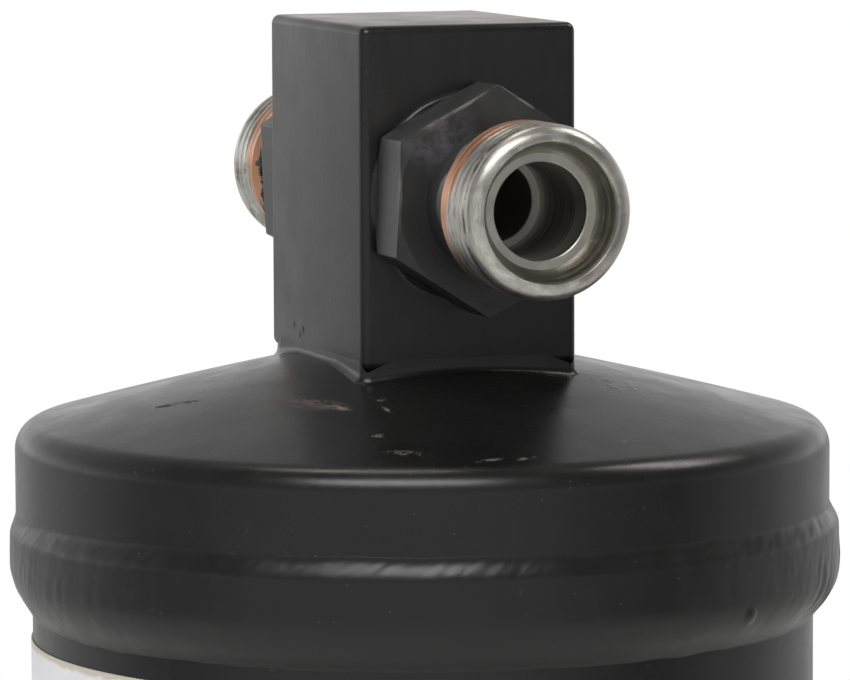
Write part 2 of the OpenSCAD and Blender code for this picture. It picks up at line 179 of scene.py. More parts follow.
ahead = Vector((
    math.sin(TURN) * math.cos(PITCH_DOWN), math.cos(TURN) * math.cos(PITCH_DOWN),
    -math.sin(PITCH_DOWN),
))
right = Vector((math.cos(TURN), -math.sin(TURN), 0))
above = right.cross(ahead)
right, above = (
    right * math.cos(ROLL) - above * math.sin(ROLL),
    right * math.sin(ROLL) + above * math.cos(ROLL),
)
right, ahead = (
    right * math.cos(AIM) - ahead * math.sin(AIM),
    ahead * math.cos(AIM) + right * math.sin(AIM),
)
place = Vector((
    -math.sin(TURN) * DISTANCE, -math.cos(TURN) * DISTANCE, BLOCK_TOP + RISE,
)) * MM
camera_data = bpy.data.cameras.new("camera")
camera_data.lens = LENS
camera_data.clip_start, camera_data.clip_end = 0.05, 20
camera = bpy.data.objects.new("camera", camera_data)
bpy.context.scene.collection.objects.link(camera)
camera.matrix_world = Matrix.Translation(place) @ Matrix((right, above, -ahead)).transposed().to_4x4()
bpy.context.scene.camera = camera
print("camera at", [round(v, 4) for v in place])

# %% [markdown]
# ## The can
# The real can is one deep-drawn cup. A spun outline gives the same sheet: a
# dished bottom, the ring on which it stands, the drawn corner and the wall. The
# inner outline is the outer one moved in by the sheet's thickness.


# %% Can
FOOT_C = CAN_R - 6.0 - 1.6
DISH_H, DISH_BEND, DISH_SLOPE = 4.0, 3.0, 50.0
flank_drop = DISH_H - 2 * DISH_BEND * (1 - math.cos(math.radians(DISH_SLOPE)))
DISH_C = (
    FOOT_C - 2 * DISH_BEND * math.sin(math.radians(DISH_SLOPE))
    - flank_drop / math.tan(math.radians(DISH_SLOPE))
)


def can_sheet(depth):
    return (
        [(0, DISH_H + depth)]
        + arc((DISH_C, DISH_H - DISH_BEND), DISH_BEND + depth, 90, 90 - DISH_SLOPE, 12)
        + arc((FOOT_C, DISH_BEND), DISH_BEND - depth, 270 - DISH_SLOPE, 270, 12)
        + arc((CAN_R - 6.0, 6.0), 6.0 - depth, 270, 360, 16)
        + [(CAN_R - depth, z) for z in (60, 110, 150, CAN_TOP)]
    )


can_piece = as_object(spun(can_sheet(0) + can_sheet(CAN_WALL)[::-1], 192, ring=False), "can_shell")
finished(can_piece, "can")

# %% [markdown]
# ## The domed cap
# The cap is pressed from sheet and welded over the can. Its dome is almost a
# cone that leaves a flat seat for the port block, and a tight bend leads into the
# skirt. The two holes under the block are cut as on the CAD solid.

# %% Cap
dome_c = SEAT_R - DOME_R * math.sin(DOME_SLOPE)
dome_z = SEAT_Z - DOME_R * math.cos(DOME_SLOPE)
knuckle_c = SKIRT_R - KNUCKLE_R
knuckle_z = dome_z + math.sqrt((DOME_R - KNUCKLE_R) ** 2 - (knuckle_c - dome_c) ** 2)
knuckle_turn = math.degrees(math.asin((knuckle_c - dome_c) / (DOME_R - KNUCKLE_R)))
seat_turn = math.degrees(DOME_SLOPE)
TUBE_HOLE_R, DROP_HOLE_R = 4.8125, 3.5
DROP_Y = (4.7625 + BLOCK_D / 2) / 2


def dome_height(radius):
    """Height of the cap's outer face over a point at that distance from the axis."""
    if radius <= SEAT_R:
        return SEAT_Z
    if radius <= knuckle_c:
        return dome_z + math.sqrt(DOME_R ** 2 - (radius - dome_c) ** 2)
    return knuckle_z + math.sqrt(max(KNUCKLE_R ** 2 - (radius - knuckle_c) ** 2, 0))


def cap_sheet(depth):
    return (
        along((0, SEAT_Z - depth), (SEAT_R, SEAT_Z - depth), 4)
        + arc((dome_c, dome_z), DOME_R - depth, 90 - seat_turn, 90 - knuckle_turn, 28)
        + arc((knuckle_c, knuckle_z), KNUCKLE_R - depth, 90 - knuckle_turn, 0, 14)[1:]
        + [(SKIRT_R - depth, z) for z in (177, 173, SKIRT_Z)]
    )


def bar(radius, foot, head, y=0):
    """A round cutter along Z, as an object."""
    bm = bmesh.new()
    bmesh.ops.create_cone(
        bm, cap_ends=True, segments=96, radius1=radius * MM, radius2=radius * MM,
        depth=(head - foot) * MM,
    )
    bmesh.ops.translate(bm, verts=bm.verts, vec=(0, y * MM, (foot + head) / 2 * MM))
    return as_object(bm, "cutter")


cap_piece = as_object(spun(cap_sheet(0) + cap_sheet(CAP_WALL)[::-1], 256, ring=False), "domed_cap")
combined(cap_piece, bar(TUBE_HOLE_R, SEAT_Z - 5, SEAT_Z + 2), "DIFFERENCE")
combined(cap_piece, bar(DROP_HOLE_R, SEAT_Z - 5, SEAT_Z + 2, DROP_Y), "DIFFERENCE")
finished(cap_piece, "top_cap")

# %% [markdown]
# ## The weld bead
# One bead closes the step between the cap's edge and the can. It was laid by a
# machine while the drier turned. Its upper edge forms a small ledge on the skirt,
# its face is smooth, and it rounds back to the can below. Where it starts and
# stops, at the right of the outlet, it is fuller and carries the crescents that
# each pulse of the arc left. A plain ring is spun first, with many rows, and then
# each vertex is moved to its place, as a sculptor would work a lump of clay.

# %% Weld bead
BEAD_STEPS, BEAD_ROWS = 1080, 26
CREST_Z = BEAD_FOOT + 6.6
STOP_SIDE, FAR_SIDE = math.radians(-27), math.radians(165)
SPATTER_TURN, SPATTER_Z = math.radians(-60.5), BEAD_FOOT + 3.6


def near_turn(turn, middle, width):
    """1 at one side of the drier, falling off smoothly round it."""
    away = math.atan2(math.sin(turn - middle), math.cos(turn - middle))
    return math.exp(-((away / width) ** 2))


def ripple(turn, z, pitch, bow):
    """Crescents that follow each other along the bead, leaning with its travel."""
    up = z - CREST_Z
    lean = -0.5 * up if up > 0 else bow * (up / 4) ** 2
    loose = 1.2 * noise.noise(Vector((turn * 9, z * 0.2, 5)))
    return math.sin(math.tau * (turn * BEAD_R + lean + loose) / pitch)


def bead_point(turn, part):
    """Radius and height on the bead: part is 1 at its upper toe, -1 at its lower one."""
    at = Vector((math.cos(turn), math.sin(turn), 0)) * 8
    stop, far = near_turn(turn, STOP_SIDE, 0.34), near_turn(turn, FAR_SIDE, 0.5)
    loose = 0.22 * noise.noise(at * 1.3 + Vector((0, 0, 11)))
    head = BEAD_HEAD - 0.15 + 0.35 * stop - 0.8 * far + loose
    foot = BEAD_FOOT - 0.1 + loose
    z = CREST_Z + (part * (head - CREST_Z) if part > 0 else part * (CREST_Z - foot))
    proud = 0.97 + 0.13 * stop - 0.25 * far + 0.05 * noise.noise(at * 0.8)
    wave = noise.noise(at * 2.4 + Vector((0, 0, z * 0.25)))
    grit = noise.noise(at * 6 + Vector((0, 0, z * 0.8)))
    here = max(noise.noise(at * 1.7 + Vector((0, 0, z * 0.12 + 9))) + 0.3, 0)
    below = min(max((CREST_Z + 2.5 - z) / 2.5, 0), 1)
    bumps = 0.03 * wave + (0.012 + 0.03 * stop + 0.015 * far) * grit
    bumps += (0.004 + 0.26 * stop ** 2 * below + 0.07 * far * below) * here * ripple(turn, z, 2.9, 1.9)
    off = math.hypot((turn - SPATTER_TURN) * BEAD_R, z - SPATTER_Z)
    bumps += 0.3 * math.exp(-(off / 0.8) ** 4)
    if part > 0:
        ledge = min(max((head - z) / 2.75, 0), 1)
        teeth = noise.noise(Vector((turn * BEAD_R * 0.9 - 1.1 * z, z * 0.35, 21))) + wave
        teeth += 0.6 * noise.noise(Vector((turn * BEAD_R * 1.6 - 1.9 * z, z * 0.8, 33)))
        height = proud * (0.88 * ledge ** 2 * (3 - 2 * ledge) + 0.12 * (1 - part ** 2))
        return SKIRT_R + height + bumps * (1 - part ** 4) + 0.15 * teeth * ledge * (1 - ledge), z
    fall = 1 - (1 - min(abs(part), 1) ** (3 - 0.6 * far)) ** 1.45
    return CAN_R + (SKIRT_R + proud - CAN_R) * (1 - fall) + bumps * (1 - part ** 4), z


def bead_section():
    parts = [math.sin(math.pi / 2 * i / BEAD_ROWS) for i in range(BEAD_ROWS + 1)]
    outside = [(BEAD_R, part) for part in [*parts[::-1], *(-part for part in parts[1:])]]
    return [(CAN_R - 0.02, SKIRT_Z), (SKIRT_R - 0.02, SKIRT_Z)] + outside


bm = spun(bead_section(), BEAD_STEPS)
for vert in bm.verts:
    x, y, z = (v / MM for v in vert.co)
    if math.hypot(x, y) > SKIRT_R + 0.1:
        turn = math.atan2(y, x)
        radius, height = bead_point(turn, z)
        tucked = 0.03 if abs(z) > 0.999 else 0
        vert.co = Vector(((radius - tucked) * math.cos(turn), (radius - tucked) * math.sin(turn), height)) * MM
weld_piece = as_object(bm, "weld_bead")
finished(weld_piece, "shell_weld", crisp=75)

# %% [markdown]
# ## The port block
# The block is a length of square-edged steel bar, so it starts as a cube that is
# scaled to the CAD box, and a bevel of one millimetre breaks its edges. The cross
# bores and the two drillings that lead down into the can are cut as in the CAD,
# because a view through the outlet fitting ends in them.

# %% Port block
def set_on_port(bm, side):
    """Lays a bmesh that was turned along +Z on the front (-1) or rear (1) port."""
    shift = Matrix.Translation(Vector((0, side * BLOCK_D / 2, PORT_Z)) * MM)
    bmesh.ops.transform(
        bm, verts=bm.verts, matrix=shift @ Matrix.Rotation(math.radians(-90 * side), 4, "X")
    )
    return bm


def cross_bore(side, y):
    depth = BLOCK_D / 2 - y + 0.5
    point = PASSAGE_R / math.tan(math.radians(59))
    wide = SHANK_R + 0.05
    outline = [
        (0, -depth - point), (PASSAGE_R, -depth), (PASSAGE_R, -SHANK_L),
        (wide, -SHANK_L), (wide, 1), (0, 1),
    ]
    return as_object(set_on_port(spun(outline, 96, ring=False), side), "cutter")


bm = bmesh.new()
bmesh.ops.create_cube(bm, size=MM)
bmesh.ops.scale(bm, verts=bm.verts, vec=(BLOCK_W, BLOCK_D, BLOCK_TOP - SEAT_Z))
bmesh.ops.translate(bm, verts=bm.verts, vec=(0, 0, (SEAT_Z + BLOCK_TOP) / 2 * MM))
bmesh.ops.bevel(
    bm, geom=bm.edges[:], offset=1.0 * MM, offset_type="OFFSET", segments=6,
    profile=0.5, affect="EDGES", material=-1,
)
block_piece = as_object(bm, "port_block_body")
TUBE_TOP = SEAT_Z + 9
for cutter in (
    cross_bore(-1, 0), cross_bore(1, DROP_Y),
    bar(TUBE_HOLE_R, SEAT_Z - 1, TUBE_TOP), bar(3.8, TUBE_TOP - 1, PORT_Z + 0.5),
    bar(DROP_HOLE_R, SEAT_Z - 1, PORT_Z + 0.5, DROP_Y),
):
    combined(block_piece, cutter, "DIFFERENCE")
finished(block_piece, "port_block")

# %% [markdown]
# ## The threaded fittings
# Each fitting is turned from one hexagon bar. Its body is a closed outline spun
# round the port's axis: shank, neck, thread, rounded nose, tapered recess, flat
# seal ring, pilot bore and passage. A screw thread climbs as it goes round, so it
# can't be spun. Instead the outline has many rings, and each vertex is drawn in
# by the groove that a thread cutter would leave at its angle and length.

# %% Fitting body
FITTING_STEPS, THREAD_ROWS = 224, 84
THREAD_START = NECK_END + 0.8
THREAD_DEPTH, CREST_SHARE = 0.17, 0.7


def groove_depth(length, turn):
    """How deep the thread cutter went at a length and an angle, worn crests included."""
    phase = (length / PITCH + turn / math.tau) % 1
    flank = min(max((abs(2 * phase - 1) - 0.12) / CREST_SHARE, 0), 1)
    fade = min(max((length - THREAD_START) / 1.6, 0), 1)
    worn = 1 + 0.5 * noise.noise(Vector((turn * 2.2, length * 0.5, 3)))
    return THREAD_DEPTH * fade * worn * (1 - flank * flank * (3 - 2 * flank))


def fitting_outline():
    outside = (
        [(SHANK_R, -SHANK_L), (SHANK_R, 1.0), (NECK_R, 1.0)]
        + [(NECK_R, HEX_T + 1), (NECK_R, NECK_END - 1)]
        + [(NECK_R, NECK_END), (8.725, NECK_END), (THREAD_R, THREAD_START)]
    )
    nose = arc((LIP_R, THREAD_END), THREAD_R - LIP_R, 0, 90, 24)
    inside = (
        along((LIP_R - 0.12, NOSE_END - 0.12), (SEAL_R, RECESS_END), 8)
        + [(SEAL_R, RECESS_END), (PILOT_R + 0.12, RECESS_END), (PILOT_R, RECESS_END - 0.12)]
        + along((PILOT_R, RECESS_END - 1), (PILOT_R, PILOT_END), 4)
        + [(PILOT_R, PILOT_END), (PASSAGE_R + 0.1, PILOT_END), (PASSAGE_R, PILOT_END - 0.1)]
        + [(PASSAGE_R, -SHANK_L)]
    )
    return outside + nose + inside


# %% [markdown]
# The hexagon is a six-sided prism whose corners were turned off at both ends, a
# little in front and more behind. Cutting the prism with a turned double cone
# leaves the curved edges that every turned hexagon has. The hexagon and the
# body are then joined by an exact union, because the real fitting is one piece.

# %% Hexagon and union
FRONT_CUT, REAR_CUT = 0.25, 1.3
HEX_CORNER = HEX_AF / math.sqrt(3)


def hexagon():
    bm = bmesh.new()
    bmesh.ops.create_circle(bm, cap_ends=True, segments=6, radius=HEX_CORNER * MM)
    up = bmesh.ops.extrude_face_region(bm, geom=bm.faces[:])
    lifted = [v for v in up["geom"] if isinstance(v, bmesh.types.BMVert)]
    bmesh.ops.translate(bm, verts=lifted, vec=(0, 0, HEX_T * MM))
    bmesh.ops.recalc_face_normals(bm, faces=bm.faces)
    upright = [e for e in bm.edges if abs(e.verts[0].co.z - e.verts[1].co.z) > MM]
    bmesh.ops.bevel(
        bm, geom=upright, offset=0.2 * MM, offset_type="OFFSET", segments=3,
        profile=0.5, affect="EDGES", material=-1,
    )
    bmesh.ops.rotate(bm, verts=bm.verts, matrix=Matrix.Rotation(-HEX_TURN, 3, "Z"))
    return bm


def turned_ends():
    flat = HEX_AF / 2 + REAR_CUT / 8
    outline = (
        [(0, 0)] + arc((flat - 0.15, 0.15), 0.15, 270, 320, 3)
        + [(HEX_CORNER + 0.01, REAR_CUT), (HEX_CORNER + 0.01, HEX_T - FRONT_CUT)]
        + arc((flat - 0.2, HEX_T - 0.2), 0.2, 60, 90, 3) + [(0, HEX_T)]
    )
    return spun(outline, 192, ring=False)


body = as_object(spun(fitting_outline(), FITTING_STEPS), "fitting")
collar = as_object(hexagon(), "hexagon")
combined(collar, as_object(turned_ends(), "cutter"), "INTERSECT")
hole = spun([(0, -1), (6.2, -1), (6.2, HEX_T + 1), (0, HEX_T + 1)], 96, ring=False)
combined(collar, as_object(hole, "cutter"), "DIFFERENCE")
combined(body, collar, "UNION")
print("plain fitting:", len(body.data.polygons), "faces")

# %% [markdown]
# Only now the long faces of the thread zone are divided into rows, so the exact
# union had a light mesh to work on, and the vertices are drawn in by the groove.
# Both ports take the same fitting, turned to face outwards.


# %% Thread
def threaded(name, side):
    bm = bmesh.new()
    bm.from_mesh(body.data)
    zone = (THREAD_START - 0.01, THREAD_END + 0.01)
    lengthwise = [
        edge for edge in bm.edges
        if all(zone[0] < v.co.z / MM < zone[1] and v.co.xy.length / MM > THREAD_R - 0.02 for v in edge.verts)
        and edge.calc_length() > MM
    ]
    bmesh.ops.subdivide_edges(bm, edges=lengthwise, cuts=THREAD_ROWS, use_grid_fill=True)
    for vert in bm.verts:
        x, y, z = (v / MM for v in vert.co)
        radius = math.hypot(x, y)
        if zone[0] < z and radius > LIP_R + 0.05:
            limit = THREAD_R - groove_depth(z, math.atan2(y, x) * side)
            if radius > limit:
                vert.co = Vector((x * limit / radius, y * limit / radius, z)) * MM
    return as_object(set_on_port(bm, side), name)


outlet_piece = finished(threaded("outlet_union", -1), "outlet_fitting", crisp=42)
inlet_piece = finished(threaded("inlet_union", 1), "inlet_fitting", crisp=42)
bpy.data.objects.remove(body)

# %% [markdown]
# ## Braze behind the hexagons
# A thin ring of braze shows where each hexagon meets the block. Its section is a
# small hollow corner, spun round the port's axis, and its outer edge wanders a
# little as molten metal does.


# %% Collar braze
def collar_braze(side, name):
    foot = HEX_AF / 2 - 0.05
    leg = 0.75
    hollow = arc((foot + leg, leg), leg, 180, 270, 8)
    bm = spun([(foot, -0.02)] + [(foot, leg)] + hollow[1:] + [(foot + leg, -0.02)], 240)
    for vert in bm.verts:
        x, y, z = (v / MM for v in vert.co)
        radius = math.hypot(x, y)
        wander = 1 + 0.35 * noise.noise(Vector((x * 0.35, y * 0.35, side * 5)))
        spread = foot + (radius - foot) * wander
        vert.co = Vector((x * spread / radius, y * spread / radius, z * wander if z > 0 else z)) * MM
    return as_object(set_on_port(bm, side), name)


for side, name, node in ((-1, "outlet_collar_braze", "outlet_braze"), (1, "inlet_collar_braze", "inlet_braze")):
    finished(collar_braze(side, name), node, crisp=60)

# %% [markdown]
# ## Braze round the block's foot
# The block stands on a small flat, and its corners reach past it, over the slope
# of the dome. The braze ran round the foot as a hollow fillet and left a dark gap
# under the front corners. The mesh starts as a flat plate of the block's size
# with rounded corners. Its outline is divided into short edges and extruded
# outwards row by row, and each row is laid a little further down the hollow.

# %% Foot loop
FOOT_ROWS = 16


def foot_loop():
    """The block's outline as a loop of short edges."""
    bm = bmesh.new()
    bmesh.ops.create_grid(bm, x_segments=1, y_segments=1, size=0.5 * MM)
    bmesh.ops.scale(bm, verts=bm.verts, vec=(BLOCK_W, BLOCK_D, 1))
    bmesh.ops.bevel(
        bm, geom=bm.verts[:], offset=MM, offset_type="OFFSET", segments=8,
        profile=0.5, affect="VERTICES", material=-1,
    )
    sides = [e for e in bm.edges if e.calc_length() > 5 * MM]
    bmesh.ops.subdivide_edges(bm, edges=sides, cuts=59)
    bmesh.ops.delete(bm, geom=bm.faces[:], context="FACES_ONLY")
    return bm


def outward_from_foot(x, y):
    """Direction away from the block at a point of its outline."""
    core = Vector((min(max(x, 1 - BLOCK_W / 2), BLOCK_W / 2 - 1), min(max(y, 1 - BLOCK_D / 2), BLOCK_D / 2 - 1)))
    return (Vector((x, y)) - core).normalized()


# %% Foot braze
def hollow_point(foot, part):
    """A point of the fillet over a foot point, from the block (0) to the dome (1)."""
    away = outward_from_foot(foot.x, foot.y)
    here = Vector((foot.x, foot.y, 0)) * 0.14
    front = max(-away.y, 0)
    gap = (3.7, 0.9) if foot.y < 0 else (3.0, 3.0)
    open_corner = max(1 - math.hypot(
        (BLOCK_W / 2 - abs(foot.x)) / gap[0], (BLOCK_D / 2 - abs(foot.y)) / gap[1]), 0)
    reach = 0.75 - 0.3 * front + 0.12 * noise.noise(here) - (0.2 if foot.y < 0 else 0.9) * open_corner
    start = 0.015 - (0.17 if foot.y < 0 else 0.6) * open_corner
    top = SEAT_Z + 1.2 + 0.12 * noise.noise(here * 1.3 + Vector((9, 0, 0))) - 1.55 * open_corner
    out = start + (reach - start) * part ** (6 - 4.5 * open_corner)
    x, y = foot.x + away.x * out, foot.y + away.y * out
    ground = dome_height(math.hypot(x, y))
    rise = max(top - dome_height(math.hypot(foot.x + away.x * start, foot.y + away.y * start)), 0.1)
    lump = 0.04 * noise.noise(Vector((x * 0.7, y * 0.7, 4))) * 4 * part * (1 - part)
    return Vector((x, y, ground + rise * (1 - part) ** 1.15 + lump - 0.02 * part)) * MM


bm = foot_loop()
foot_of = bm.verts.layers.float_vector.new("foot")
for vert in bm.verts:
    vert[foot_of] = vert.co / MM
    vert.co = hollow_point(vert[foot_of], 0)
first = rim = bm.edges[:]
for row in range(1, FOOT_ROWS + 1):
    grown = bmesh.ops.extrude_edge_only(bm, edges=rim)["geom"]
    rim = [e for e in grown if isinstance(e, bmesh.types.BMEdge)]
    for vert in (v for v in grown if isinstance(v, bmesh.types.BMVert)):
        vert.co = hollow_point(vert[foot_of], row / FOOT_ROWS)
grown = bmesh.ops.extrude_edge_only(bm, edges=rim)["geom"]
rim = [e for e in grown if isinstance(e, bmesh.types.BMEdge)]
for vert in (v for v in grown if isinstance(v, bmesh.types.BMVert)):
    under = vert[foot_of].xy - outward_from_foot(*vert[foot_of].xy) * 1.5
    vert.co = Vector((under.x, under.y, dome_height(under.length) - 0.02)) * MM
bmesh.ops.bridge_loops(bm, edges=rim + first)
bmesh.ops.recalc_face_normals(bm, faces=bm.faces)
braze_piece = as_object(bm, "block_foot_braze")
finished(braze_piece, "block_braze", crisp=60)

# %% [markdown]
# ## The label
# A film label is wrapped on the can's left side. It is one thin sheet, spun
# through part of a turn and closed at both ends.

# %% Label
LABEL_ARC = math.degrees(112.0 / CAN_R)
LABEL_TURN = 205.0


def label_film():
    inner, outer = CAN_R + 0.05, CAN_R + 0.2
    bm = bmesh.new()
    corners = [(inner, LABEL_FOOT), (outer, LABEL_FOOT), (outer, LABEL_HEAD), (inner, LABEL_HEAD)]
    verts = [bm.verts.new((r * MM, 0, z * MM)) for r, z in corners]
    face = bm.faces.new(verts)
    bmesh.ops.rotate(
        bm, verts=verts, matrix=Matrix.Rotation(math.radians(LABEL_TURN - LABEL_ARC / 2), 3, "Z")
    )
    far = bmesh.ops.spin(
        bm, geom=[face], cent=(0, 0, 0), axis=(0, 0, 1),
        angle=math.radians(LABEL_ARC), steps=120, use_merge=False,
    )
    bmesh.ops.recalc_face_normals(bm, faces=bm.faces)
    return bm


label_piece = as_object(label_film(), "label_film")
finished(label_piece, "label")

# %% [markdown]
# ## Node helpers
# A finish is a small network of shader nodes. These helpers add a node, set its
# sockets by name and link what is given as a socket, so that each material below
# reads like a recipe.


# %% Node helpers
def add(tree, kind, inputs=None, **settings):
    made = tree.nodes.new(kind)
    for key, value in settings.items():
        setattr(made, key, value)
    for key, value in (inputs or {}).items():
        if isinstance(value, bpy.types.NodeSocket):
            tree.links.new(value, made.inputs[key])
        else:
            made.inputs[key].default_value = value
    return made


def maths(tree, operation, *values, clamp=False):
    return add(
        tree, "ShaderNodeMath", dict(enumerate(values)), operation=operation, use_clamp=clamp
    ).outputs[0]


def stepped(tree, value, low, high, start=0.0, end=1.0):
    """A soft step from start to end as the value goes from low to high."""
    return add(
        tree, "ShaderNodeMapRange",
        {"Value": value, "From Min": low, "From Max": high, "To Min": start, "To Max": end},
        interpolation_type="SMOOTHSTEP",
    ).outputs[0]


def blended(tree, mask, first, second):
    """Mixes two colours by a mask."""
    return add(tree, "ShaderNodeMix", {0: mask, 6: first, 7: second}, data_type="RGBA").outputs[2]


def mixed(tree, mask, first, second):
    """Mixes two numbers by a mask."""
    return add(tree, "ShaderNodeMix", {0: mask, 2: first, 3: second}, data_type="FLOAT").outputs[0]


def speckled(tree, vector, scale, detail=3.0, roughness=0.55):
    return add(
        tree, "ShaderNodeTexNoise",
        {"Vector": vector, "Scale": scale, "Detail": detail, "Roughness": roughness},
    ).outputs["Fac"]


def grey(value, warm=0.0):
    return (value * (1 + warm), value, value * (1 - warm), 1.0)


def new_group(name, inputs, outputs):
    """An empty node group with named sockets: (name, kind, default) each."""
    group = bpy.data.node_groups.new(name, "ShaderNodeTree")
    for title, kind, default in inputs:
        socket = group.interface.new_socket(title, in_out="INPUT", socket_type=kind)
        if default is not None:
            socket.default_value = default
    for title, kind in outputs:
        group.interface.new_socket(title, in_out="OUTPUT", socket_type=kind)
    return group, group.nodes.new("NodeGroupInput"), group.nodes.new("NodeGroupOutput")


def use(tree, group, **inputs):
    made = add(tree, "ShaderNodeGroup", node_tree=group)
    for key, value in inputs.items():
        socket = made.inputs[key.replace("_", " ")]
        if isinstance(value, bpy.types.NodeSocket):
            tree.links.new(value, socket)
        else:
            socket.default_value = value
    return made


# %% [markdown]
# ## Effects that several finishes share
# Specks of dust, hairline scratches and worn edges turn up on many pieces, so each
# is a node group that puts out a mask. What the mask does, such as showing bare
# metal or dulling the paint, is decided in the material that uses it.

# %% Specks
FLOAT, VECTOR = "NodeSocketFloat", "NodeSocketVector"
specks, enter, leave = new_group(
    "specks",
    [("Vector", VECTOR, None), ("Scale", FLOAT, 900.0), ("Share", FLOAT, 0.3)],
    [("Mask", FLOAT)],
)
grains = add(specks, "ShaderNodeTexVoronoi", {"Vector": enter.outputs["Vector"], "Scale": enter.outputs["Scale"]})
crowd = speckled(specks, enter.outputs["Vector"], 60.0)
near = stepped(specks, grains.outputs["Distance"], 0.24, 0.1)
picked = add(specks, "ShaderNodeSeparateColor", {0: grains.outputs["Color"]}).outputs[0]
chosen = maths(specks, "LESS_THAN", picked, maths(specks, "MULTIPLY", enter.outputs["Share"], crowd))
specks.links.new(maths(specks, "MULTIPLY", near, chosen), leave.inputs["Mask"])
print("group:", specks.name)

# %% Hairlines
hairlines, enter, leave = new_group(
    "hairlines",
    [("Vector", VECTOR, None), ("Scale", FLOAT, 60.0), ("Share", FLOAT, 0.1)],
    [("Mask", FLOAT)],
)
bent = add(
    hairlines, "ShaderNodeTexNoise", {"Vector": enter.outputs["Vector"], "Scale": 40.0, "Detail": 1.0}
).outputs["Color"]
moved = add(
    hairlines, "ShaderNodeVectorMath",
    {0: enter.outputs["Vector"], 1: add(
        hairlines, "ShaderNodeVectorMath", {0: bent, 3: 0.004}, operation="SCALE").outputs[0]},
    operation="ADD",
).outputs[0]
cells = add(
    hairlines, "ShaderNodeTexVoronoi", {"Vector": moved, "Scale": enter.outputs["Scale"]},
    feature="DISTANCE_TO_EDGE",
).outputs["Distance"]
thin = stepped(hairlines, cells, 0.012, 0.0)
some = stepped(hairlines, speckled(hairlines, enter.outputs["Vector"], 90.0), 0.62, 0.72)
hairlines.links.new(
    maths(hairlines, "MULTIPLY", maths(hairlines, "MULTIPLY", thin, some), enter.outputs["Share"]),
    leave.inputs["Mask"],
)
print("group:", hairlines.name)

# %% Worn edges
worn, enter, leave = new_group(
    "worn_edge",
    [("Vector", VECTOR, None), ("Distance", FLOAT, 1.0), ("Width", FLOAT, 0.3), ("Amount", FLOAT, 0.5)],
    [("Mask", FLOAT)],
)
patchy = speckled(worn, enter.outputs["Vector"], 260.0, 4.0, 0.65)
ragged = maths(worn, "MULTIPLY_ADD", patchy, enter.outputs["Width"], maths(
    worn, "MULTIPLY", enter.outputs["Width"], -0.35))
close = stepped(worn, maths(worn, "SUBTRACT", enter.outputs["Distance"], ragged), 0.28, 0.08)
bare_from = maths(worn, "SUBTRACT", 0.7, maths(worn, "MULTIPLY", enter.outputs["Amount"], 0.4))
held = stepped(worn, speckled(worn, enter.outputs["Vector"], 110.0, 4.0, 0.6), bare_from, maths(
    worn, "ADD", bare_from, 0.12))
worn.links.new(maths(worn, "MULTIPLY", close, held), leave.inputs["Mask"])
print("group:", worn.name)

# %% [markdown]
# ## Where a point lies on a port
# Many marks on the fittings follow the port: its length from the block's face, its
# radius, and how near the hexagon's edges are. One group works all that out from
# Object coordinates. The hexagon's corners repeat every sixty degrees, so a
# ping-pong of the angle gives the turn from the nearest corner.

# %% Port place
port_place, enter, leave = new_group(
    "port_place", [("Vector", VECTOR, None)],
    [("Length", FLOAT), ("Radius", FLOAT), ("Rim", FLOAT), ("Corner", FLOAT)],
)
axes = add(port_place, "ShaderNodeSeparateXYZ", {0: enter.outputs["Vector"]})
across = maths(port_place, "DIVIDE", axes.outputs["X"], MM)
upward = maths(port_place, "SUBTRACT", maths(port_place, "DIVIDE", axes.outputs["Z"], MM), PORT_Z)
upward = maths(port_place, "MULTIPLY", upward, maths(
    port_place, "MULTIPLY", maths(port_place, "SIGN", axes.outputs["Y"]), -1.0))
outward = maths(port_place, "DIVIDE", maths(port_place, "ABSOLUTE", axes.outputs["Y"]), MM)
length = maths(port_place, "SUBTRACT", outward, BLOCK_D / 2)
radius = maths(port_place, "SQRT", maths(
    port_place, "ADD", maths(port_place, "MULTIPLY", across, across),
    maths(port_place, "MULTIPLY", upward, upward)))
turn = maths(port_place, "SUBTRACT", maths(port_place, "ARCTAN2", upward, across), math.pi / 2 - HEX_TURN)
from_corner = maths(port_place, "PINGPONG", turn, math.pi / 6)
swing = maths(port_place, "SUBTRACT", math.pi / 6, from_corner)
edge_at = maths(port_place, "DIVIDE", HEX_AF / 2, maths(port_place, "COSINE", swing))
rim = maths(port_place, "ADD", maths(port_place, "SUBTRACT", HEX_T, length), maths(
    port_place, "SUBTRACT", edge_at, radius))
for title, value in (
    ("Length", length), ("Radius", radius), ("Rim", rim),
    ("Corner", maths(port_place, "MULTIPLY", from_corner, radius)),
):
    port_place.links.new(value, leave.inputs[title])
print("group:", port_place.name)

# %% [markdown]
# ## Black satin paint
# The drier was sprayed in thin black paint after welding. The paint is satin, a
# little uneven, with dust in it. Three paints share the recipe: the shell's, the
# block's and the thicker one that ran over weld and braze.


# %% Paint recipe
def start_material(name):
    material = bpy.data.materials.new(name)
    material.use_nodes = True
    tree = material.node_tree
    tree.nodes.clear()
    shader = tree.nodes.new("ShaderNodeBsdfPrincipled")
    target = tree.nodes.new("ShaderNodeOutputMaterial")
    tree.links.new(shader.outputs[0], target.inputs["Surface"])
    place = add(tree, "ShaderNodeTexCoord").outputs["Object"]
    return material, tree, shader, place


def bumped(tree, shader, height, distance, strength=1.0):
    bump = add(tree, "ShaderNodeBump", {"Height": height, "Distance": distance, "Strength": strength})
    tree.links.new(bump.outputs[0], shader.inputs["Normal"])


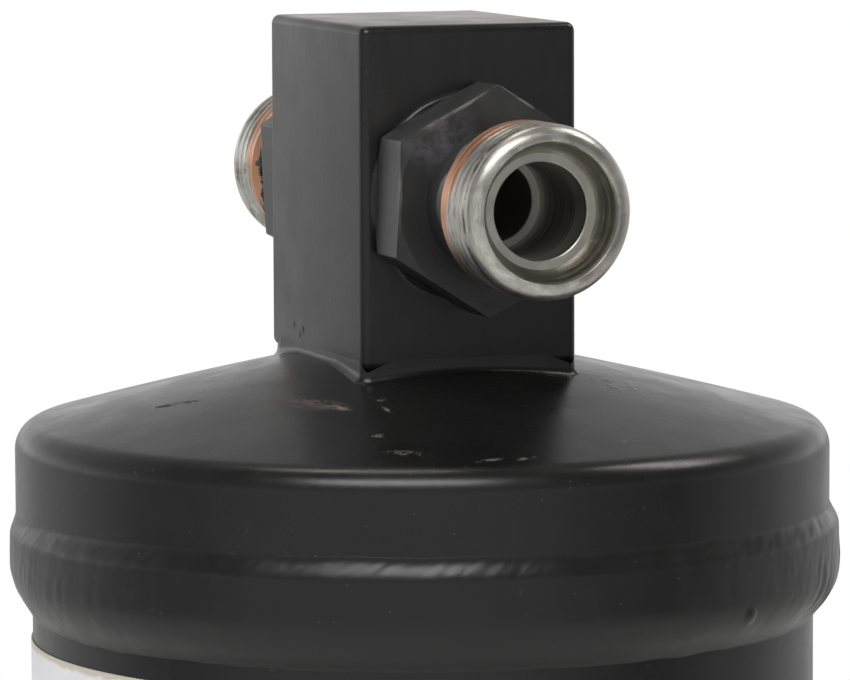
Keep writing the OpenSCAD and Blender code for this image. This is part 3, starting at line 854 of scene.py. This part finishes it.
def patch(tree, place, centre, size, turn=0.0, soft=0.5):
    """Mask of an ellipse round a point, in millimetres, with a soft edge."""
    local = add(
        tree, "ShaderNodeMapping",
        {"Vector": place, "Location": Vector(centre) * MM,
         "Rotation": (0, 0, math.radians(turn)), "Scale": Vector(size) * MM},
        vector_type="TEXTURE",
    ).outputs[0]
    far = add(tree, "ShaderNodeVectorMath", {0: local}, operation="LENGTH").outputs["Value"]
    return stepped(tree, far, 1.0, 1.0 - soft)


def broken(tree, place, mask, scale, hold, soft=0.06):
    """Breaks a mask up by noise, so that only its stronger grains stay."""
    grains = speckled(tree, place, scale, 4.0, 0.7)
    return maths(tree, "MULTIPLY", mask, stepped(tree, grains, hold, hold + soft))


def paint(name, tone, gloss, peel, dust, tint=0.02):
    material, tree, shader, place = start_material(name)
    cloud = speckled(tree, place, 55.0, 4.0)
    colour = blended(tree, stepped(tree, cloud, 0.3, 0.7), grey(tone * 0.85, -tint), grey(tone * 1.15, tint))
    dots = use(tree, specks, Vector=place, Scale=1500.0, Share=dust).outputs["Mask"]
    colour = blended(tree, maths(tree, "MULTIPLY", dots, 0.4), colour, grey(0.1, 0.05))
    lines = use(tree, hairlines, Vector=place, Scale=90.0, Share=0.2).outputs["Mask"]
    colour = blended(tree, lines, colour, grey(0.08))
    rough = stepped(tree, speckled(tree, place, 180.0, 3.0), 0.3, 0.7, gloss - 0.03, gloss + 0.04)
    skin = speckled(tree, place, 900.0, 2.0, 0.4)
    height = maths(tree, "ADD", maths(tree, "MULTIPLY", skin, peel), maths(tree, "MULTIPLY", dots, 0.5))
    return material, tree, shader, place, colour, rough, height


def close_paint(tree, shader, colour, rough, height):
    tree.links.new(colour, shader.inputs["Base Color"])
    tree.links.new(rough, shader.inputs["Roughness"])
    bumped(tree, shader, height, 0.00002)


# %% [markdown]
# ## The shell's paint and its marks
# In front of the port block the shell was rubbed: a brownish scuff at the left,
# a few pale flecks and short scratches towards the rim, and one dark scratch. At
# the right of the block, drops of braze and flux lie under the paint. Each mark is
# an ellipse at its place on the dome, broken up by noise.

# %% Shell paint
shell_paint, tree, shader, place, colour, rough, height = paint("shell_paint", 0.0105, 0.27, 0.45, 0.12)
brown = broken(tree, place, patch(tree, place, (-19.9, -18.2, 188), (6.6, 2.3, 4), -52, 0.7), 900.0, 0.42, 0.14)
colour = blended(tree, maths(tree, "MULTIPLY", brown, 0.85), colour, (0.105, 0.066, 0.066, 1))
flecks = None
for centre, size, turn in (
    ((-17.4, -21.8, 188), (2.2, 0.8, 3), -60), ((-12.7, -21.6, 189), (0.8, 0.8, 3), 0),
    ((-16.6, -31.7, 186), (1.0, 0.8, 3), 0), ((-15.4, -37.4, 185), (3.4, 0.9, 3), -30),
    ((-13.0, -25.0, 187), (0.5, 1.6, 3), 10), ((-7.6, -42.0, 183), (2.4, 0.5, 3), 4),
    ((-3.4, -42.3, 183), (1.8, 0.5, 3), 12), ((9.3, -38.4, 184), (0.5, 0.5, 3), 0),
):
    one = broken(tree, place, patch(tree, place, centre, size, turn, 0.8), 900.0, 0.44, 0.16)
    flecks = one if flecks is None else maths(tree, "MAXIMUM", flecks, one)
colour = blended(tree, maths(tree, "MULTIPLY", flecks, 0.8), colour, (0.2, 0.18, 0.16, 1))
dark = broken(tree, place, patch(tree, place, (-31.0, -5.0, 187), (3.6, 0.8, 4), -35, 0.5), 900.0, 0.45)
for centre in ((-38.1, -26.2, 180.4), (4.3, -46.0, 177.7), (0.7, -46.2, 177.4), (-41.9, 3.7, 182.2)):
    dark = maths(tree, "MAXIMUM", dark, patch(tree, place, centre, (0.3, 0.3, 0.22), 0, 0.4))
colour = blended(tree, maths(tree, "MULTIPLY", dark, 0.9), colour, grey(0.002))
rough = maths(tree, "ADD", rough, maths(tree, "MULTIPLY", maths(
    tree, "ADD", maths(tree, "ADD", brown, flecks), dark), 0.3))
drops = broken(tree, place, patch(tree, place, (15.5, -17.5, 189), (4.5, 6.0, 5), 20, 0.8), 420.0, 0.5, 0.2)
height = maths(tree, "ADD", height, maths(tree, "MULTIPLY", drops, 6.0))
height = maths(tree, "SUBTRACT", height, maths(tree, "MULTIPLY", maths(tree, "ADD", flecks, dark), 1.5))
close_paint(tree, shader, colour, rough, height)

# %% Weld paint
weld_paint, tree, shader, place, colour, rough, height = paint("weld_paint", 0.0105, 0.3, 0.7, 0.12)
close_paint(tree, shader, colour, rough, height)

# %% [markdown]
# ## The block's paint
# The block has the same paint over a milled surface, whose grain runs upwards. Its
# bores were never painted: they are dark with oil and scale. The group for the
# port's place tells the bores from the outside, and a smear of copper stays below
# the outlet's hexagon. The top face is painted lighter and warmer: a painted sheen
# that stands for the grazing reflection of the white backdrop.

# %% Block paint
block_paint, tree, shader, place, colour, rough, height = paint("block_paint", 0.008, 0.3, 0.35, 0.1)
grain_place = add(tree, "ShaderNodeMapping", {"Vector": place, "Scale": (1, 1, 0.25)}).outputs[0]
milled = speckled(tree, grain_place, 700.0, 4.0, 0.6)
colour = blended(tree, stepped(tree, milled, 0.35, 0.65), colour, grey(0.011))
height = maths(tree, "ADD", height, maths(tree, "MULTIPLY", milled, 0.8))
# Painted sheen: the top face gets a lighter, warm colour in place of the backdrop's reflection.
painted_top_sheen = stepped(tree, add(tree, "ShaderNodeSeparateXYZ", {0: place}).outputs["Z"], (BLOCK_TOP - 0.2) * MM, BLOCK_TOP * MM)
colour = blended(tree, painted_top_sheen, colour, (0.1, 0.085, 0.06, 1))
smear = broken(tree, place, patch(tree, place, (-6.4, -15.9, 200.2), (1.4, 3, 1.5), 0, 0.8), 900.0, 0.48)
colour = blended(tree, maths(tree, "MULTIPLY", smear, 0.7), colour, (0.12, 0.07, 0.05, 1))
for centre in ((-12.7, 5.6, 192.6), (-12.7, 4.4, 193.3), (-12.7, 7.5, 193.4)):
    nick = broken(tree, place, patch(tree, place, centre, (1, 0.45, 0.6), 0, 0.5), 1200.0, 0.4)
    colour = blended(tree, maths(tree, "MULTIPLY", nick, 0.9), colour, grey(0.002))
    rough = maths(tree, "ADD", rough, maths(tree, "MULTIPLY", nick, 0.3))
port = use(tree, port_place, Vector=place)
bore = maths(tree, "MULTIPLY", stepped(tree, port.outputs["Radius"], 7.3, 7.1), stepped(
    tree, port.outputs["Length"], -0.2, -0.4))
colour = blended(tree, bore, colour, (0.4, 0.37, 0.3, 1))
rough = mixed(tree, bore, rough, 0.85)
close_paint(tree, shader, colour, rough, height)

# %% [markdown]
# ## Painted and bare steel on the fittings
# The hexagon and the neck were painted with the block, and the thread was
# covered, so the paint ends in a ragged line. Just past it a copper-coloured
# flash shows, and then bare turned steel, dull and a little stained. The paint is
# rubbed off along the hexagon's front edges. This pale rim is kept to the upper
# half, so it is partly a painted highlight, and the hexagon's lower half is painted
# darker as painted shade. The bore is brown with oil, and the small step in it,
# where the drill stopped, is clean.


# %% Fitting finish
def fitting_finish(name, dirt):
    material, tree, shader, place = start_material(name)
    port = use(tree, port_place, Vector=place)
    length, radius = port.outputs["Length"], port.outputs["Radius"]
    ragged = maths(tree, "MULTIPLY_ADD", speckled(tree, place, 420.0, 5.0, 0.7), 2.2, -1.1)
    at = maths(tree, "ADD", length, ragged)
    outer = stepped(tree, radius, 6.9, 7.1)
    painted = maths(tree, "MULTIPLY", outer, stepped(tree, at, NECK_END + 0.35, NECK_END + 0.2))
    upper = stepped(tree, add(tree, "ShaderNodeSeparateXYZ", {0: place}).outputs["Z"], (PORT_Z - 5) * MM, (PORT_Z + 7) * MM)
    # The pale rubbed rim shows only on the upper half: partly real wear, partly a painted highlight.
    rubbed_rim_and_highlight = maths(tree, "MULTIPLY", upper, use(
        tree, worn, Vector=place, Distance=port.outputs["Rim"], Width=0.7, Amount=0.85).outputs["Mask"])
    spread = maths(tree, "MULTIPLY_ADD", upper, 2.2, NECK_END + 1.5)
    copper = maths(tree, "MULTIPLY", outer, stepped(tree, maths(tree, "SUBTRACT", at, spread), 0.7, -0.4))
    cloud = speckled(tree, place, 160.0, 4.0, 0.6)
    blotch = speckled(tree, place, 350.0, 5.0, 0.65)
    round_port = add(tree, "ShaderNodeMapping", {"Vector": place, "Scale": (0.12, 1, 0.12)}).outputs[0]
    streak = speckled(tree, round_port, 2600.0, 4.0, 0.7)
    turned = add(
        tree, "ShaderNodeTexNoise",
        {"Vector": add(tree, "ShaderNodeCombineXYZ", {0: length, 1: radius}).outputs[0],
         "Scale": 5.0, "Detail": 3.0, "Roughness": 0.6},
    ).outputs["Fac"]
    steel = blended(tree, stepped(tree, cloud, 0.3, 0.7), (0.53, 0.5, 0.45, 1), (0.76, 0.74, 0.69, 1))
    steel = blended(tree, maths(tree, "MULTIPLY", stepped(tree, streak, 0.58, 0.42), 0.45), steel, (0.26, 0.245, 0.22, 1))
    steel = blended(tree, maths(tree, "MULTIPLY", stepped(tree, blotch, 0.5, 0.7), dirt), steel, (0.2, 0.16, 0.11, 1))
    ridge = stepped(tree, radius, THREAD_R - 0.06, THREAD_R - 0.24)
    root = maths(tree, "MULTIPLY", maths(tree, "MULTIPLY", ridge, stepped(
        tree, length, THREAD_START + 1.0, THREAD_START + 1.6)), stepped(tree, length, THREAD_END, THREAD_END - 0.1))
    root = maths(tree, "MULTIPLY", root, stepped(tree, blotch, 0.45, 0.6))
    steel = blended(tree, maths(tree, "MULTIPLY", root, 0.6), steel, (0.1, 0.085, 0.065, 1))
    copper = maths(tree, "MULTIPLY", copper, stepped(tree, blotch, 0.35, 0.5, 0.45, 0.95))
    steel = blended(tree, copper, steel, (0.7, 0.36, 0.22, 1))
    # Painted shade: a dark, broken line in the crease where the thread meets the rounded nose.
    painted_crease_shade = stepped(tree, maths(tree, "ABSOLUTE", maths(
        tree, "SUBTRACT", maths(tree, "MULTIPLY_ADD", ragged, 0.25, length), THREAD_END + 0.2)), 0.22, 0.12)
    painted_crease_shade = maths(tree, "MULTIPLY", maths(tree, "MULTIPLY", painted_crease_shade, outer), stepped(tree, blotch, 0.42, 0.5))
    steel = blended(tree, maths(tree, "MULTIPLY", painted_crease_shade, 0.8), steel, (0.07, 0.06, 0.045, 1))
    hollow = maths(tree, "MULTIPLY", stepped(tree, radius, LIP_R - 0.1, LIP_R - 0.5), stepped(
        tree, length, RECESS_END + 0.02, RECESS_END + 0.1))
    hollow = maths(tree, "MULTIPLY", hollow, stepped(tree, blotch, 0.3, 0.5, 0.3, 0.7))
    steel = blended(tree, hollow, steel, (0.42, 0.4, 0.33, 1))
    for centre in ((5.9, -38.2, 206.2), (7.0, -38.6, 206.5)):
        fleck = broken(tree, place, patch(tree, place, centre, (0.55, 1.6, 0.3), 0, 0.6), 1400.0, 0.4, 0.1)
        steel = blended(tree, maths(tree, "MULTIPLY", fleck, dirt * 2), steel, (0.75, 0.72, 0.5, 1))
    inside = maths(tree, "MULTIPLY", stepped(tree, length, RECESS_END - 0.05, RECESS_END - 0.3), stepped(
        tree, radius, 7.1, 6.9))
    step = maths(tree, "MULTIPLY", stepped(tree, maths(
        tree, "ABSOLUTE", maths(tree, "SUBTRACT", length, PILOT_END)), 0.25, 0.15), stepped(
        tree, radius, PASSAGE_R - 0.1, PASSAGE_R + 0.02))
    oily = blended(tree, stepped(tree, turned, 0.35, 0.65), (0.28, 0.26, 0.21, 1), (0.6, 0.57, 0.5, 1))
    oily = blended(tree, stepped(tree, length, PILOT_END - 0.3, PILOT_END - 0.6), oily, (0.48, 0.45, 0.39, 1))
    steel = blended(tree, inside, steel, oily)
    steel = blended(tree, step, steel, (0.62, 0.62, 0.6, 1))
    flat_ring = maths(tree, "MULTIPLY", stepped(tree, maths(
        tree, "ABSOLUTE", maths(tree, "SUBTRACT", length, RECESS_END)), 0.08, 0.04), stepped(
        tree, radius, SEAL_R + 0.1, SEAL_R))
    steel = blended(tree, maths(tree, "MULTIPLY", flat_ring, 0.8), steel, (0.5, 0.48, 0.44, 1))
    # Painted shade: below the port's axis the hexagon's black is darker than above it.
    black = blended(tree, upper, grey(0.023), blended(tree, stepped(tree, cloud, 0.3, 0.7), grey(0.028), grey(0.048)))
    brushed = broken(
        tree, place, patch(tree, place, (-6.5, -23.6, 217.0), (5.5, 1.5, 5.5), 0, 0.8), 450.0, 0.38, 0.24)
    black = blended(tree, maths(tree, "MULTIPLY", brushed, 0.8), black, (0.13, 0.122, 0.135, 1))
    black = blended(tree, maths(tree, "MULTIPLY", rubbed_rim_and_highlight, 0.85), black, (0.24, 0.23, 0.22, 1))
    tree.links.new(blended(tree, painted, steel, black), shader.inputs["Base Color"])
    tree.links.new(maths(tree, "SUBTRACT", 1.0, painted), shader.inputs["Metallic"])
    metal_rough = maths(tree, "ADD", stepped(tree, turned, 0.3, 0.7, 0.27, 0.42), maths(
        tree, "MULTIPLY", inside, 0.12))
    tree.links.new(mixed(tree, painted, metal_rough, 0.33), shader.inputs["Roughness"])
    height = maths(tree, "ADD", maths(tree, "MULTIPLY", turned, 0.9), maths(tree, "MULTIPLY", streak, 1.2))
    height = maths(tree, "ADD", height, maths(
        tree, "MULTIPLY", speckled(tree, place, 900.0, 2.0), 0.6))
    height = maths(tree, "ADD", height, maths(tree, "MULTIPLY", painted, 3.0))
    bumped(tree, shader, height, 0.00002)
    return material


outlet_finish = fitting_finish("outlet_steel", 0.35)
inlet_finish = fitting_finish("inlet_steel", 0.85)

# %% [markdown]
# ## Label film
# The film is white, slightly glossy, and yellowed in a thin fringe at its edges,
# where dust sticks to the adhesive.

# %% Label finish
label_paper, tree, shader, place = start_material("label_white")
z = maths(tree, "DIVIDE", add(tree, "ShaderNodeSeparateXYZ", {0: place}).outputs["Z"], MM)
to_edge = maths(tree, "MINIMUM", maths(tree, "SUBTRACT", LABEL_HEAD, z), maths(tree, "SUBTRACT", z, LABEL_FOOT))
wander = maths(tree, "MULTIPLY", speckled(tree, place, 500.0, 4.0, 0.7), 1.4)
fringe = stepped(tree, maths(tree, "SUBTRACT", to_edge, wander), 0.2, -0.3)
cloud = stepped(tree, speckled(tree, place, 70.0, 4.0), 0.3, 0.7)
white = blended(tree, cloud, (0.86, 0.85, 0.87, 1), (0.91, 0.9, 0.92, 1))
white = blended(tree, maths(tree, "MULTIPLY", fringe, 0.6), white, (0.5, 0.42, 0.24, 1))
tree.links.new(white, shader.inputs["Base Color"])
shader.inputs["Roughness"].default_value = 0.4
bumped(tree, shader, speckled(tree, place, 800.0, 2.0), 0.00001)


# %% [markdown]
# ## Finishes of the inner pieces
# Nothing of the inside shows in use, yet each solid gets the finish of what it is:
# drawn tube, copper braze, woven wire, perforated sheet, felt and beads.


# %% Inner finishes
def inner_metal(name, dark, light, rough, grain):
    material, tree, shader, place = start_material(name)
    stretched = add(tree, "ShaderNodeMapping", {"Vector": place, "Scale": (1, 1, 0.05)}).outputs[0]
    streak = speckled(tree, stretched, grain, 4.0)
    tree.links.new(blended(tree, stepped(tree, streak, 0.3, 0.7), dark, light), shader.inputs["Base Color"])
    tree.links.new(stepped(tree, speckled(tree, place, 200.0), 0.3, 0.7, rough - 0.06, rough + 0.08),
                   shader.inputs["Roughness"])
    shader.inputs["Metallic"].default_value = 1.0
    bumped(tree, shader, streak, 0.00002)
    return material


def inner_fibre(name, dark, light, scale):
    material, tree, shader, place = start_material(name)
    fibre = add(tree, "ShaderNodeTexVoronoi", {"Vector": place, "Scale": scale}).outputs["Distance"]
    tree.links.new(blended(tree, fibre, dark, light), shader.inputs["Base Color"])
    shader.inputs["Roughness"].default_value = 0.9
    bumped(tree, shader, fibre, 0.0003)
    return material


inner = {
    "pickup_tube": inner_metal("drawn_tube", (0.4, 0.39, 0.37, 1), (0.55, 0.54, 0.52, 1), 0.32, 900),
    "tube_braze": inner_metal("copper_braze", (0.5, 0.28, 0.17, 1), (0.7, 0.42, 0.28, 1), 0.35, 500),
    "strainer_ferrule": inner_metal("pressed_brass", (0.55, 0.42, 0.2, 1), (0.72, 0.6, 0.33, 1), 0.3, 700),
    "strainer_screen": inner_metal("woven_wire", (0.3, 0.26, 0.17, 1), (0.68, 0.6, 0.42, 1), 0.4, 2600),
    "lower_plate": inner_metal("perforated_sheet", (0.45, 0.45, 0.44, 1), (0.6, 0.6, 0.59, 1), 0.35, 600),
    "bed_spring": inner_metal("spring_wire", (0.22, 0.22, 0.23, 1), (0.42, 0.42, 0.43, 1), 0.3, 1200),
    "lower_pad": inner_fibre("felt", (0.6, 0.57, 0.5, 1), (0.86, 0.84, 0.76, 1), 1800),
    "desiccant_bed": inner_fibre("beads", (0.3, 0.24, 0.17, 1), (0.8, 0.7, 0.55, 1), 420),
}
inner["upper_plate"] = inner["lower_plate"]
inner["upper_pad"] = inner["lower_pad"]
outer = {
    can_piece: shell_paint, cap_piece: shell_paint, weld_piece: weld_paint,
    block_piece: block_paint, braze_piece: weld_paint, label_piece: label_paper,
    outlet_piece: outlet_finish, inlet_piece: inlet_finish,
    bpy.data.objects["outlet_collar_braze"]: weld_paint,
    bpy.data.objects["inlet_collar_braze"]: weld_paint,
}
outer.update({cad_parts[node]: material for node, material in inner.items()})
for piece, material in outer.items():
    piece.data.materials.clear()
    piece.data.materials.append(material)
print(len(outer), "pieces finished")

# %% [markdown]
# ## Floor, sky and lamps
# The photo was taken on white. The world is white for the camera, and as light it
# is bright behind the drier and dimmer in front and overhead, as in a photo tent
# that is open towards the camera. The pale floor keeps the drier's shadow and
# fades into the white with distance.

# %% World
world = bpy.data.worlds.new("tent")
bpy.context.scene.world = world
world.use_nodes = True
sky = world.node_tree
sky.nodes.clear()
way = add(sky, "ShaderNodeSeparateXYZ", {0: add(sky, "ShaderNodeTexCoord").outputs["Generated"]})
behind = stepped(sky, way.outputs["Y"], -0.1, 0.75, 0.26, 1.0)
to_camera = maths(sky, "ADD", maths(sky, "MULTIPLY", way.outputs["X"], -0.47), maths(
    sky, "MULTIPLY", way.outputs["Y"], -0.883))
in_front = stepped(sky, to_camera, 0.22, 1.0, 0.0, 0.42)
at_right = stepped(sky, way.outputs["X"], 0.8, 1.0, 0.0, 0.27)
low = stepped(sky, way.outputs["Z"], -0.04, 0.06, 0.58, 1.3)
high = maths(sky, "MULTIPLY", stepped(sky, way.outputs["Z"], -0.07, 0.43, 1.0, 0.38), stepped(
    sky, way.outputs["Z"], 0.5, 0.8, 1.0, 0.6))
tent = maths(sky, "ADD", maths(sky, "MULTIPLY", behind, low), maths(sky, "ADD", in_front, at_right))
tent = maths(sky, "MULTIPLY", tent, high)
camera_ray = add(sky, "ShaderNodeLightPath").outputs["Is Camera Ray"]
level = mixed(sky, camera_ray, tent, 1.0)
glow = add(sky, "ShaderNodeBackground", {"Color": (1, 1, 1, 1), "Strength": level})
sky.links.new(glow.outputs[0], add(sky, "ShaderNodeOutputWorld").inputs["Surface"])

# %% Floor
bm = bmesh.new()
bmesh.ops.create_circle(bm, cap_ends=True, segments=128, radius=0.8)
floor = as_object(bm, "floor")
floor.location.z = -0.0002
floor_paint, tree, shader, place = start_material("floor_white")
shader.inputs["Base Color"].default_value = (0.8, 0.8, 0.8, 1)
shader.inputs["Roughness"].default_value = 0.7
away = add(tree, "ShaderNodeVectorMath", {0: place}, operation="LENGTH").outputs["Value"]
tree.links.new(stepped(tree, away, 0.3, 0.78, 1.0, 0.0), shader.inputs["Alpha"])
floor.data.materials.append(floor_paint)


# %% Lamps
def polar(turn, rise, far=1.3):
    """A place at a turn from the camera's side and a rise above the drier's top."""
    flat = math.radians(turn - 90) - TURN
    up = math.radians(rise)
    return Vector((
        far * math.cos(up) * math.cos(flat), far * math.cos(up) * math.sin(flat),
        0.19 + far * math.sin(up),
    ))


def soft_lamp(name, spot, wide, high, power, tint=(1, 1, 1)):
    """A rectangular lamp that faces the drier, its wide side level with the camera."""
    data = bpy.data.lights.new(name, "AREA")
    data.shape, data.size, data.size_y = "RECTANGLE", wide, high
    data.energy, data.color = power, tint
    lamp = bpy.data.objects.new(name, data)
    bpy.context.scene.collection.objects.link(lamp)
    back = (spot - Vector((0, 0, 0.19))).normalized()
    level = (right - back * right.dot(back)).normalized()
    lamp.matrix_world = Matrix.Translation(spot) @ Matrix((level, back.cross(level), back)).transposed().to_4x4()
    lamp.visible_camera = False
    return lamp


soft_lamp("front_box", polar(-8, 48), 0.9, 0.42, 8.4)
soft_lamp("over_box", polar(-138, 77.5), 0.5, 0.24, 1.8, (1.0, 0.96, 0.9))
soft_lamp("right_box", polar(107, 49), 0.55, 0.34, 3.6, (1.0, 0.97, 0.93))
soft_lamp("left_fill", polar(-95, 30), 1.0, 0.7, 4.6).visible_glossy = False

scene = bpy.context.scene
scene.view_settings.view_transform = "Standard"
